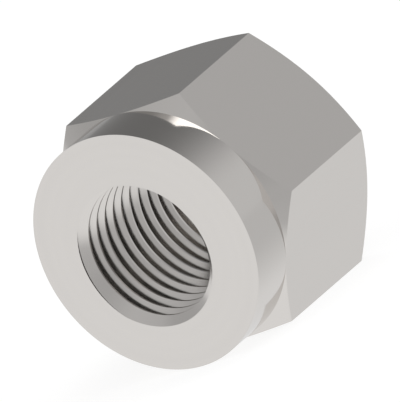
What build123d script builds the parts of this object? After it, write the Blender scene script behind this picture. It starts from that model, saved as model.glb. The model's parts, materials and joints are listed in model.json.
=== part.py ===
from build123d import *
import os
from math import cos, radians, tan

# Hexagonal fitting nut with a round collar at its mouth, threaded right through.
# It lies on one flat of the hexagon, as it would on a bench. All sizes are in millimetres.
# The axis of the bore runs along Y, and the threaded mouth faces -Y.
# X runs from corner to corner of the hexagon and Z is up.
# The origin is on the bottom flat, half way along the nut and straight below the axis.

# Hexagonal part, which ends where the front chamfer meets the collar
SIDES = 6
ACROSS_FLATS = 16.0
HEX_LENGTH = 10.0
CORNER_CHAMFER_ANGLE = 30.0

# Round collar, turned down until it just touches the six flats
COLLAR_LENGTH = 3.35

# Metric fine thread, tapped right through from one plain end face to the other
THREAD_DIAMETER = 10.0
THREAD_PITCH = 1.0
THREAD_FLANK_ANGLE = 30.0

# Outside, worked out. Both chamfers start on the circle that touches the flats.
HALF_SECTOR = 180 / SIDES
TOUCHING_RADIUS = ACROSS_FLATS / 2
CORNER_RADIUS = TOUCHING_RADIUS / cos(radians(HALF_SECTOR))
CORNER_CHAMFER_DEPTH = (CORNER_RADIUS - TOUCHING_RADIUS) * tan(radians(CORNER_CHAMFER_ANGLE))
OVERALL_LENGTH = COLLAR_LENGTH + HEX_LENGTH

# Inside, worked out. The crests of a metric internal thread stand in from the major
# diameter by five eighths of the height of the thread's sharp triangle.
SHARP_THREAD_HEIGHT = THREAD_PITCH / 2 / tan(radians(THREAD_FLANK_ANGLE))
BORE_RADIUS = THREAD_DIAMETER / 2 - SHARP_THREAD_HEIGHT * 5 / 8


def turned_outside():
    """The shape that the lathe leaves: the collar, the front chamfer cone, a cylinder over the
    corners and the rear chamfer cone. The outline is of (radius, distance from the mouth)."""
    outline = [
        (0, 0),
        (TOUCHING_RADIUS, 0),
        (TOUCHING_RADIUS, COLLAR_LENGTH),
        (CORNER_RADIUS, COLLAR_LENGTH + CORNER_CHAMFER_DEPTH),
        (CORNER_RADIUS, OVERALL_LENGTH - CORNER_CHAMFER_DEPTH),
        (TOUCHING_RADIUS, OVERALL_LENGTH),
        (0, OVERALL_LENGTH),
    ]
    section = make_face(Polyline(*outline, close=True))
    return revolve(section, axis=Axis.Y)


def hexagonal_bar():
    """The bar that the nut is made from, lying on one of its flats."""
    flat_down = -90 - HALF_SECTOR
    hexagon = RegularPolygon(TOUCHING_RADIUS, SIDES, major_radius=False, rotation=flat_down)
    return extrude(Plane.XZ * hexagon, amount=-OVERALL_LENGTH)


def bore():
    """The hole that the thread is tapped in, with its wall at the thread's crests."""
    return extrude(Plane.XZ * Circle(BORE_RADIUS), amount=-OVERALL_LENGTH)


def nut_body():
    """The whole nut, made in place: hexagonal bar, turned outside, then bored through."""
    nut = (hexagonal_bar() & turned_outside()) - bore()
    return Pos(0, -OVERALL_LENGTH / 2, TOUCHING_RADIUS) * nut


os.makedirs("parts", exist_ok=True)
body = nut_body()
body.label = "nut_body"
export_step(body, "parts/nut_body.step")

print("overall length", OVERALL_LENGTH)
print("bore radius", round(BORE_RADIUS, 4))
print("volume", round(body.volume, 2))
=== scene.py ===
import json
from math import atan2, cos, pi, radians, sin, tan

import bmesh
import bpy
from mathutils import Matrix, Vector


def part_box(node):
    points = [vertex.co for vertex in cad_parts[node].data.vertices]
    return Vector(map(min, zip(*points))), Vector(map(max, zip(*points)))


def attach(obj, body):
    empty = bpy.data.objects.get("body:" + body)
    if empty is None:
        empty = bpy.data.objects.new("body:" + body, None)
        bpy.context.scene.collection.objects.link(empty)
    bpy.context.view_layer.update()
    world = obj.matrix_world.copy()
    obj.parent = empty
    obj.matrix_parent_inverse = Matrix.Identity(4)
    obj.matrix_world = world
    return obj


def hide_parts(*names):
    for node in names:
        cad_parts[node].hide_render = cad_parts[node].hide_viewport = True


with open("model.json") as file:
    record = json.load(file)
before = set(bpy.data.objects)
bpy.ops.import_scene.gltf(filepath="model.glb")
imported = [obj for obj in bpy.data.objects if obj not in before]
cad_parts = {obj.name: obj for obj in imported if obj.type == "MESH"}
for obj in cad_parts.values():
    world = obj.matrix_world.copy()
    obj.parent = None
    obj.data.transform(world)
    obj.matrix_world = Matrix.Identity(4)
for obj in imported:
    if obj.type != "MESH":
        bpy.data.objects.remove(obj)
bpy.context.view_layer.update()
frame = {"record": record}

# Everything is in metres. The nut lies on a flat of its hexagon, with its mouth facing -Y.
MM = 0.001
NODE = "nut_body"

# Sizes that the frame gives. The flats reach from the end of the collar to the rear face, so
# where their middle is gives the collar's length.
LOWEST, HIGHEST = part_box(NODE)
MOUNTS = {mount["name"]: mount for mount in frame["record"]["mounts"]}
OVERALL_LENGTH = HIGHEST.y - LOWEST.y
HALF_FLATS = (HIGHEST.z - LOWEST.z) / 2
AXIS_HEIGHT = LOWEST.z + HALF_FLATS
MOUTH_Y = LOWEST.y
FLAT_MIDDLE_Y = MOUNTS["upper_flat"]["pos_m"][1]
COLLAR_LENGTH = 2 * (FLAT_MIDDLE_Y - MOUTH_Y) - OVERALL_LENGTH
CREST_RADIUS = MOUNTS["mouth_thread"]["dims"]["r_mm"] * MM

# The hexagon. Its chamfers are cones that start on the circle that touches the flats.
SIDES = 6
SECTOR = 2 * pi / SIDES
CHAMFER_SLOPE = tan(radians(30))

# The thread: right-hand, with flanks at 60 degrees that meet in a sharp root. It is made with
# spare turns at both ends, which are then cut off.
PITCH = 1.0 * MM
CREST_WIDTH = PITCH / 8
FLANK_SLOPE = tan(radians(30))
GROOVE_WIDTH = PITCH - CREST_WIDTH
GROOVE_DEPTH = GROOVE_WIDTH / 2 / FLANK_SLOPE
ROOT_AT_MOUTH = radians(225)
SPARE_TURNS = 3 / 2

# How finely the round surfaces are divided, in steps to a turn. It is a multiple of twelve, so
# that a step falls on each corner and on the middle of each flat.
TURN_STEPS = 360

# Edges that turn by more than this are sharp. The distances are those below which a chamfer's
# edge touches its end circle, and a vertex lies on a cut.
SHARP_ANGLE = radians(20)
TOUCHING_DISTANCE = 1e-9
CUT_DISTANCE = 1e-8


def at(radius, angle, depth):
    """The point at a radius and an angle round the bore's axis, at a depth behind the mouth."""
    return Vector((radius * cos(angle), MOUTH_Y + depth, AXIS_HEIGHT + radius * sin(angle)))


def angle_of(vertex):
    """A vertex's angle round the bore's axis, from 0 to a whole turn."""
    angle = atan2(vertex.co.z - AXIS_HEIGHT, vertex.co.x)
    return angle % (2 * pi)


def hexagon_radius(angle):
    """How far the hexagon's outline is from the axis. Its corners lie to the left and right."""
    return HALF_FLATS / cos(angle % SECTOR - SECTOR / 2)


def circle(bm, radius, depth):
    """A ring of vertices at one radius and one depth."""
    steps = [2 * pi * i / TURN_STEPS for i in range(TURN_STEPS)]
    return [bm.verts.new(at(radius, angle, depth)) for angle in steps]


def chamfer_edge(bm, end_circle, end_depth, inward):
    """The curved edge where a chamfer cone meets the flats. It touches the end circle at the
    middle of each flat, and there it shares the circle's vertex."""
    ring = []
    for i, touching in enumerate(end_circle):
        angle = 2 * pi * i / TURN_STEPS
        radius = hexagon_radius(angle)
        beyond = radius - HALF_FLATS
        if beyond < TOUCHING_DISTANCE:
            ring.append(touching)
        else:
            ring.append(bm.verts.new(at(radius, angle, end_depth + inward * beyond * CHAMFER_SLOPE)))
    return ring


def add_face(bm, corners, material):
    """A face on the given vertices, leaving out a vertex that comes twice."""
    distinct = list(dict.fromkeys(corners))
    if len(distinct) > 2:
        face = bm.faces.new(distinct)
        face.material_index = material


def join_rings(bm, one, other, material):
    """Faces between two rings that have the same number of vertices."""
    for i in range(len(one)):
        k = (i + 1) % len(one)
        add_face(bm, [one[i], one[k], other[k], other[i]], material)


def unrolled(loop):
    """A closed loop's vertices by their angles, the first once more at the end, and the angles."""
    vertices = sorted(loop, key=angle_of)
    angles = [angle_of(vertex) for vertex in vertices]
    return vertices + vertices[:1], angles + [angles[0] + 2 * pi]


def join_loops(bm, one, other, material):
    """Triangles between two closed loops that need not have the same number of vertices. The
    loop that lags behind in angle always takes the next step."""
    one, one_angles = unrolled(one)
    other, other_angles = unrolled(other)
    one_end = len(one) - 1
    other_end = len(other) - 1
    i = 0
    k = 0
    while i < one_end or k < other_end:
        if k == other_end or (i < one_end and one_angles[i + 1] <= other_angles[k + 1]):
            add_face(bm, [one[i], one[i + 1], other[k]], material)
            i += 1
        else:
            add_face(bm, [one[i], other[k + 1], other[k]], material)
            k += 1


def cut_flat(bm, depth, outward):
    """Cut off all that lies beyond a depth, and give the loop of vertices that the cut leaves."""
    cut = bmesh.ops.bisect_plane(
        bm,
        geom=bm.verts[:] + bm.edges[:] + bm.faces[:],
        dist=CUT_DISTANCE,
        plane_co=at(0, 0, depth),
        plane_no=(0, outward, 0),
        clear_outer=True,
    )
    return [item for item in cut["geom_cut"] if isinstance(item, bmesh.types.BMVert)]


def thread_surface(bm, material):
    """The threaded bore as one helical strip of flank, flank and crest, cut off flat at both end
    faces of the nut. It gives the loops of vertices at the mouth and at the rear."""
    first = -int(SPARE_TURNS * TURN_STEPS)
    last = int((OVERALL_LENGTH / PITCH + SPARE_TURNS) * TURN_STEPS)
    rows = []
    for step in range(first, last):
        angle = ROOT_AT_MOUTH - 2 * pi * step / TURN_STEPS
        depth = PITCH * step / TURN_STEPS
        near = bm.verts.new(at(CREST_RADIUS, angle, depth - GROOVE_WIDTH / 2))
        root = bm.verts.new(at(CREST_RADIUS + GROOVE_DEPTH, angle, depth))
        far = bm.verts.new(at(CREST_RADIUS, angle, depth + GROOVE_WIDTH / 2))
        rows.append((near, root, far))
    for (near, root, far), (next_near, next_root, next_far) in zip(rows, rows[1:]):
        add_face(bm, [near, next_near, next_root, root], material)
        add_face(bm, [root, next_root, next_far, far], material)
    turn_later = rows[TURN_STEPS:]
    for row, next_row, later, next_later in zip(rows, rows[1:], turn_later, turn_later[1:]):
        add_face(bm, [row[2], next_row[2], next_later[0], later[0]], material)
    return cut_flat(bm, 0, -1), cut_flat(bm, OVERALL_LENGTH, 1)


def nut_mesh(turned, drawn, tapped):
    """The nut's whole surface, closed, each face with the number of its material."""
    bm = bmesh.new()
    mouth_loop, rear_loop = thread_surface(bm, tapped)

    face_rim = circle(bm, HALF_FLATS, 0)
    shoulder = circle(bm, HALF_FLATS, COLLAR_LENGTH)
    front_edge = chamfer_edge(bm, shoulder, COLLAR_LENGTH, 1)
    rear_rim = circle(bm, HALF_FLATS, OVERALL_LENGTH)
    rear_edge = chamfer_edge(bm, rear_rim, OVERALL_LENGTH, -1)
    join_loops(bm, mouth_loop, face_rim, turned)
    join_rings(bm, face_rim, shoulder, turned)
    join_rings(bm, shoulder, front_edge, turned)
    join_rings(bm, front_edge, rear_edge, drawn)
    join_rings(bm, rear_edge, rear_rim, turned)
    join_loops(bm, rear_loop, rear_rim, turned)

    bmesh.ops.recalc_face_normals(bm, faces=bm.faces[:])
    return bm


def add_node(tree, kind, settings=None, **values):
    """A shader node with its settings and the values or links of its inputs. An input goes by its
    name, with _ for a space, or by its number, as i0, i1 and so on."""
    node = tree.nodes.new("ShaderNode" + kind)
    for name, setting in (settings or {}).items():
        setattr(node, name, setting)
    for name, value in values.items():
        is_number = name[0] == "i" and name[1:].isdigit()
        key = int(name[1:]) if is_number else name.replace("_", " ")
        if isinstance(value, bpy.types.NodeSocket):
            tree.links.new(value, node.inputs[key])
        else:
            node.inputs[key].default_value = value
    return node


def new_material(name):
    """An empty node material and its tree."""
    material = bpy.data.materials.new(name)
    material.use_nodes = True
    material.node_tree.nodes.clear()
    return material, material.node_tree


# The steel. Its tool lines stand out by LINE_RELIEF, and its roughness varies by ROUGHNESS_SPREAD
# from one band of lines to the next. Noise keeps between its two levels almost everywhere.
STEEL_COLOUR = (0.657, 0.634, 0.612, 1)
LINE_RELIEF = 0.0004 * MM
BAND_WIDTH = 0.6 * MM
ROUGHNESS_SPREAD = 0.02
NOISE_LOW = 0.3
NOISE_HIGH = 0.7
DRAWN_STRETCH = 50


def turned_coordinates(tree):
    """Distance from the axis and depth along it, so that a texture lies in rings."""
    place = add_node(tree, "TexCoord").outputs["Object"]
    axis = (0, 0, AXIS_HEIGHT)
    from_axis = add_node(tree, "VectorMath", {"operation": "SUBTRACT"}, i0=place, i1=axis)
    across = add_node(
        tree, "VectorMath", {"operation": "MULTIPLY"}, i0=from_axis.outputs[0], i1=(1, 0, 1)
    )
    radius = add_node(tree, "VectorMath", {"operation": "LENGTH"}, i0=across.outputs[0])
    parts = add_node(tree, "SeparateXYZ", Vector=place)
    rings = add_node(tree, "CombineXYZ", X=radius.outputs["Value"], Y=parts.outputs["Y"])
    return rings.outputs[0]


def drawn_coordinates(tree):
    """The object's own place, squeezed along the bar so that a texture lies in long streaks."""
    place = add_node(tree, "TexCoord").outputs["Object"]
    squeeze = (1, 1 / DRAWN_STRETCH, 1)
    streaks = add_node(tree, "VectorMath", {"operation": "MULTIPLY"}, i0=place, i1=squeeze)
    return streaks.outputs[0]


def steel(name, coordinates, roughness, line_width):
    """Machined stainless steel, whose tool lines run along the given coordinates."""
    material, tree = new_material(name)
    along_lines = coordinates(tree)
    lines = add_node(tree, "TexNoise", Vector=along_lines, Scale=1 / line_width, Detail=3, Roughness=0.6)
    bands = add_node(tree, "TexNoise", Vector=along_lines, Scale=1 / BAND_WIDTH, Detail=2)
    banded = add_node(
        tree, "MapRange", Value=bands.outputs[0], From_Min=NOISE_LOW, From_Max=NOISE_HIGH,
        To_Min=roughness - ROUGHNESS_SPREAD, To_Max=roughness + ROUGHNESS_SPREAD,
    )
    bump = add_node(tree, "Bump", Height=lines.outputs[0], Strength=1.0, Distance=LINE_RELIEF)
    shader = add_node(
        tree, "BsdfPrincipled", Base_Color=STEEL_COLOUR, Metallic=1.0,
        Roughness=banded.outputs[0], Normal=bump.outputs[0],
    )
    add_node(tree, "OutputMaterial", Surface=shader.outputs[0])
    return material


def build_nut():
    """The nut with its thread. It stands for the solid, whose bore is plain."""
    finishes = [
        steel("turned_steel", turned_coordinates, roughness=0.10, line_width=0.08 * MM),
        steel("drawn_steel", drawn_coordinates, roughness=0.13, line_width=0.10 * MM),
        steel("tapped_steel", turned_coordinates, roughness=0.16, line_width=0.06 * MM),
    ]
    mesh = bpy.data.meshes.new("fitting_nut")
    bm = nut_mesh(turned=0, drawn=1, tapped=2)
    bm.to_mesh(mesh)
    bm.free()
    for finish in finishes:
        mesh.materials.append(finish)
    mesh.shade_smooth()
    mesh.set_sharp_from_angle(angle=SHARP_ANGLE)
    nut = bpy.data.objects.new("fitting_nut", mesh)
    bpy.context.scene.collection.objects.link(nut)
    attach(nut, "root")
    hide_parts(NODE)


def seen_by_camera(tree):
    """1 for what the camera sees, also through glass, and 0 for what the metal shows."""
    path = add_node(tree, "LightPath")
    seen = add_node(
        tree, "Math", {"operation": "MAXIMUM"},
        i0=path.outputs["Is Camera Ray"], i1=path.outputs["Is Transmission Ray"],
    )
    return seen.outputs[0]


# The floor's colour and its own glow add up to white under the lamp.
FLOOR_REACH = 2.0
FLOOR_COLOUR = (0.4, 0.4, 0.4, 1)
FLOOR_GLOW = 0.785


def build_floor():
    """A large floor that looks white and keeps the shadow. The metal shows the world's table
    instead, whose middle is white too, so that its shades don't depend on how near the floor is."""
    material, tree = new_material("white_floor")
    diffuse = add_node(tree, "BsdfDiffuse", Color=FLOOR_COLOUR)
    strength = add_node(
        tree, "Math", {"operation": "MULTIPLY"}, i0=seen_by_camera(tree), i1=FLOOR_GLOW
    )
    glow = add_node(tree, "Emission", Strength=strength.outputs[0])
    both = add_node(tree, "AddShader", i0=diffuse.outputs[0], i1=glow.outputs[0])
    add_node(tree, "OutputMaterial", Surface=both.outputs[0])
    mesh = bpy.data.meshes.new("floor")
    reach = FLOOR_REACH
    height = LOWEST.z
    corners = [
        (-reach, -reach, height),
        (reach, -reach, height),
        (reach, reach, height),
        (-reach, reach, height),
    ]
    mesh.from_pydata(corners, [], [(0, 1, 2, 3)])
    mesh.materials.append(material)
    floor = bpy.data.objects.new("floor", mesh)
    floor.visible_glossy = False
    bpy.context.scene.collection.objects.link(floor)


# The room over the table, as the metal shows it. A patch is round, and it starts and is full at
# the given cosines of the angle from its middle.
SKY_LEFT = {"rightward": -0.7, "level": 0.55}
SKY_RIGHT = {"rightward": 0.7, "level": 0.715}
SKY_PATCHES = [
    {"towards": (-0.22, 0.88, 0.42), "starts": 0.605, "full": 1.0, "level": 0.185},
    {"towards": (-0.04, -1, 0), "starts": 0.845, "full": 1.0, "level": 0.41},
    {"towards": (-0.59, 0.04, 0.81), "starts": 0.80, "full": 0.93, "level": 0.39},
    {"towards": (-0.73, -0.48, 0.485), "starts": 0.92, "full": 1.0, "level": 0.49},
    {"towards": (-0.8, 0.6, 0), "starts": 0.93, "full": 1.0, "level": 0.25},
    {"towards": (-0.656, 0.75, 0.06), "starts": 0.990, "full": 0.998, "level": 0.375},
    {"towards": (-1, -0.02, 0.03), "starts": 0.95, "full": 0.985, "level": 0.95},
]
RIGHT_PATCH = {"towards": (0.97, 0.18, -0.1), "starts": 0.93, "full": 0.99, "level": 0.86}

# The table, by slope: how far across it, to the right, or along it, to the rear, a direction goes
# for each step down. The table itself is turned a little.
TABLE_TURN = radians(24)
FLATTEST = 0.02

# It is white in front, and pale from PALE_STARTS along it.
WHITE_ENDS = -0.15
PALE_STARTS = 0.9
PALE_LEFT = {"across": -1.8, "level": 0.80}
PALE_RIGHT = {"across": -0.6, "level": 0.89}

# It is grey to the right of a soft edge, whose place across changes from the front to the back.
EDGE_FRONT = {"along": -0.5, "across": 1.15}
EDGE_BACK = {"along": 1.0, "across": -0.09}
EDGE_SOFTNESS = 0.45
GREY_FRONT = {"along": -3.2, "level": 0.56}
GREY_BACK = {"along": 1.4, "level": 0.67}

# The table goes over into the room between these upward parts of a direction.
HORIZON_LOW = -0.22
HORIZON_HIGH = -0.12


def map_range(tree, value, start, end, low, high, smooth=False):
    """A value that goes from low to high while another goes from start to end."""
    settings = {"interpolation_type": "SMOOTHSTEP" if smooth else "LINEAR"}
    node = add_node(
        tree, "MapRange", settings, Value=value, From_Min=start, From_Max=end, To_Min=low, To_Max=high
    )
    return node.outputs[0]


def between(tree, value, along, start, end, result):
    """What two named places give for the value between them: start[result] at start[along]."""
    return map_range(tree, value, start[along], end[along], start[result], end[result])


def patched(tree, direction, level, patch):
    """The level with a soft round patch on it."""
    middle = tuple(Vector(patch["towards"]).normalized())
    cosine = add_node(tree, "VectorMath", {"operation": "DOT_PRODUCT"}, i0=direction, i1=middle)
    return map_range(
        tree, cosine.outputs["Value"], patch["starts"], patch["full"], level, patch["level"], True
    )


def sky_level(tree, direction, rightward):
    """How bright the room is over the table: brighter to the right, with darker patches and a bright
    one low on the left."""
    level = between(tree, rightward, "rightward", SKY_LEFT, SKY_RIGHT, "level")
    for patch in SKY_PATCHES:
        level = patched(tree, direction, level, patch)
    return level


def table_level(tree, direction, upward):
    """How bright the table is: white in front and to the left, pale behind, and grey to the
    right of a soft edge."""
    down = add_node(tree, "Math", {"operation": "MULTIPLY"}, i0=upward, i1=-1.0)
    down = add_node(tree, "Math", {"operation": "MAXIMUM"}, i0=down.outputs[0], i1=FLATTEST)
    per_step = add_node(tree, "Math", {"operation": "DIVIDE"}, i0=1.0, i1=down.outputs[0])
    slope = add_node(
        tree, "VectorMath", {"operation": "SCALE"}, i0=direction, Scale=per_step.outputs[0]
    )
    turned = add_node(
        tree, "VectorRotate", {"rotation_type": "Z_AXIS"}, Vector=slope.outputs[0], Angle=TABLE_TURN
    )
    place = add_node(tree, "SeparateXYZ", Vector=turned.outputs[0])
    across = place.outputs["X"]
    along = place.outputs["Y"]
    pale = between(tree, across, "across", PALE_LEFT, PALE_RIGHT, "level")
    light = map_range(tree, along, WHITE_ENDS, PALE_STARTS, 1.0, pale, True)
    grey = between(tree, along, "along", GREY_FRONT, GREY_BACK, "level")
    edge = between(tree, along, "along", EDGE_FRONT, EDGE_BACK, "across")
    beyond = add_node(tree, "Math", {"operation": "SUBTRACT"}, i0=across, i1=edge)
    return map_range(tree, beyond.outputs[0], -EDGE_SOFTNESS, EDGE_SOFTNESS, light, grey, True)


def build_world():
    """What the metal shows: a pale room with darker patches, where a studio has no lamps, and a
    bright one low on the left, over a table that is white to the left and grey to the right. The
    camera sees a white backdrop."""
    world = bpy.data.worlds.new("studio")
    world.use_nodes = True
    tree = world.node_tree
    tree.nodes.clear()
    direction = add_node(tree, "TexCoord").outputs["Generated"]
    parts = add_node(tree, "SeparateXYZ", Vector=direction)
    upward = parts.outputs["Z"]
    sky = sky_level(tree, direction, parts.outputs["X"])
    table = table_level(tree, direction, upward)
    room = map_range(tree, upward, HORIZON_LOW, HORIZON_HIGH, table, sky, True)
    room = patched(tree, direction, room, RIGHT_PATCH)
    level = map_range(tree, seen_by_camera(tree), 0.0, 1.0, room, 1.0)
    background = add_node(tree, "Background", Color=(1, 1, 1, 1), Strength=level)
    add_node(tree, "OutputWorld", Surface=background.outputs[0])
    bpy.context.scene.world = world


# The one lamp, seen from the nut. Its radiance is how bright it looks, and its fade is the share
# of its length over which it goes out.
SOFTBOX_TOWARDS = (0.375, 0.115, 0.93)
SOFTBOX_DISTANCE = 0.3
SOFTBOX_WIDTH = 0.08
SOFTBOX_LENGTH = 0.23
SOFTBOX_FADE = 0.27
SOFTBOX_RADIANCE = 2.0


def build_softbox():
    """A long soft lamp over the nut. It faces the nut, and fades out towards its left end."""
    data = bpy.data.lights.new("softbox", "AREA")
    data.shape = "RECTANGLE"
    data.size = SOFTBOX_WIDTH
    data.size_y = SOFTBOX_LENGTH
    data.energy = SOFTBOX_RADIANCE * pi * SOFTBOX_WIDTH * SOFTBOX_LENGTH
    data.use_nodes = True
    tree = data.node_tree
    tree.nodes.clear()
    place = add_node(tree, "NewGeometry").outputs["Parametric"]
    along = add_node(tree, "SeparateXYZ", Vector=place).outputs["Y"]
    strength = map_range(tree, along, 1 - SOFTBOX_FADE, 1.0, 1.0, 0.0, True)
    glow = add_node(tree, "Emission", Strength=strength)
    add_node(tree, "OutputLight", Surface=glow.outputs[0])
    lamp = bpy.data.objects.new("softbox", data)
    towards = Vector(SOFTBOX_TOWARDS).normalized()
    lamp.location = Vector((0, 0, AXIS_HEIGHT)) + towards * SOFTBOX_DISTANCE
    lamp.rotation_mode = "QUATERNION"
    lamp.rotation_quaternion = towards.to_track_quat("Z", "Y")
    bpy.context.scene.collection.objects.link(lamp)


# The photograph's view, a parallel projection: 30 degrees to the right and 30 degrees up, of a nut
# that is rolled by 30 degrees from the way it lies here.
VIEW_AZIMUTH = radians(30)
VIEW_ELEVATION = radians(30)
VIEW_ROLL = radians(30)
CAMERA_DISTANCE = 200 * MM
NEAREST_SEEN = 1 * MM
FARTHEST_SEEN = 10

# Measured on the photograph, in its pixels: the mouth's centre and half the width across flats
PHOTO_WIDTH = 400
PHOTO_HEIGHT = 402
MOUTH_CENTRE_ACROSS = 145.97
MOUTH_CENTRE_DOWN = 252.18
HALF_FLATS_PIXELS = 130.23


def build_camera():
    """The photograph's camera, with the mouth's centre where the photograph has it."""
    pixel = HALF_FLATS / HALF_FLATS_PIXELS
    data = bpy.data.cameras.new("camera")
    data.type = "ORTHO"
    data.ortho_scale = max(PHOTO_WIDTH, PHOTO_HEIGHT) * pixel
    data.clip_start = NEAREST_SEEN
    data.clip_end = FARTHEST_SEEN
    turn = (
        Matrix.Rotation(VIEW_ROLL, 3, "Y")
        @ Matrix.Rotation(VIEW_AZIMUTH, 3, "Z")
        @ Matrix.Rotation(pi / 2 - VIEW_ELEVATION, 3, "X")
    )
    right = (PHOTO_WIDTH / 2 - MOUTH_CENTRE_ACROSS) * pixel
    up = (MOUTH_CENTRE_DOWN - PHOTO_HEIGHT / 2) * pixel
    place = at(0, 0, 0) + turn @ Vector((right, up, CAMERA_DISTANCE))
    camera = bpy.data.objects.new("camera", data)
    camera.matrix_world = Matrix.Translation(place) @ turn.to_4x4()
    bpy.context.scene.collection.objects.link(camera)
    bpy.context.scene.camera = camera


bpy.context.scene.view_settings.view_transform = "Standard"
build_nut()
build_floor()
build_world()
build_softbox()
build_camera()
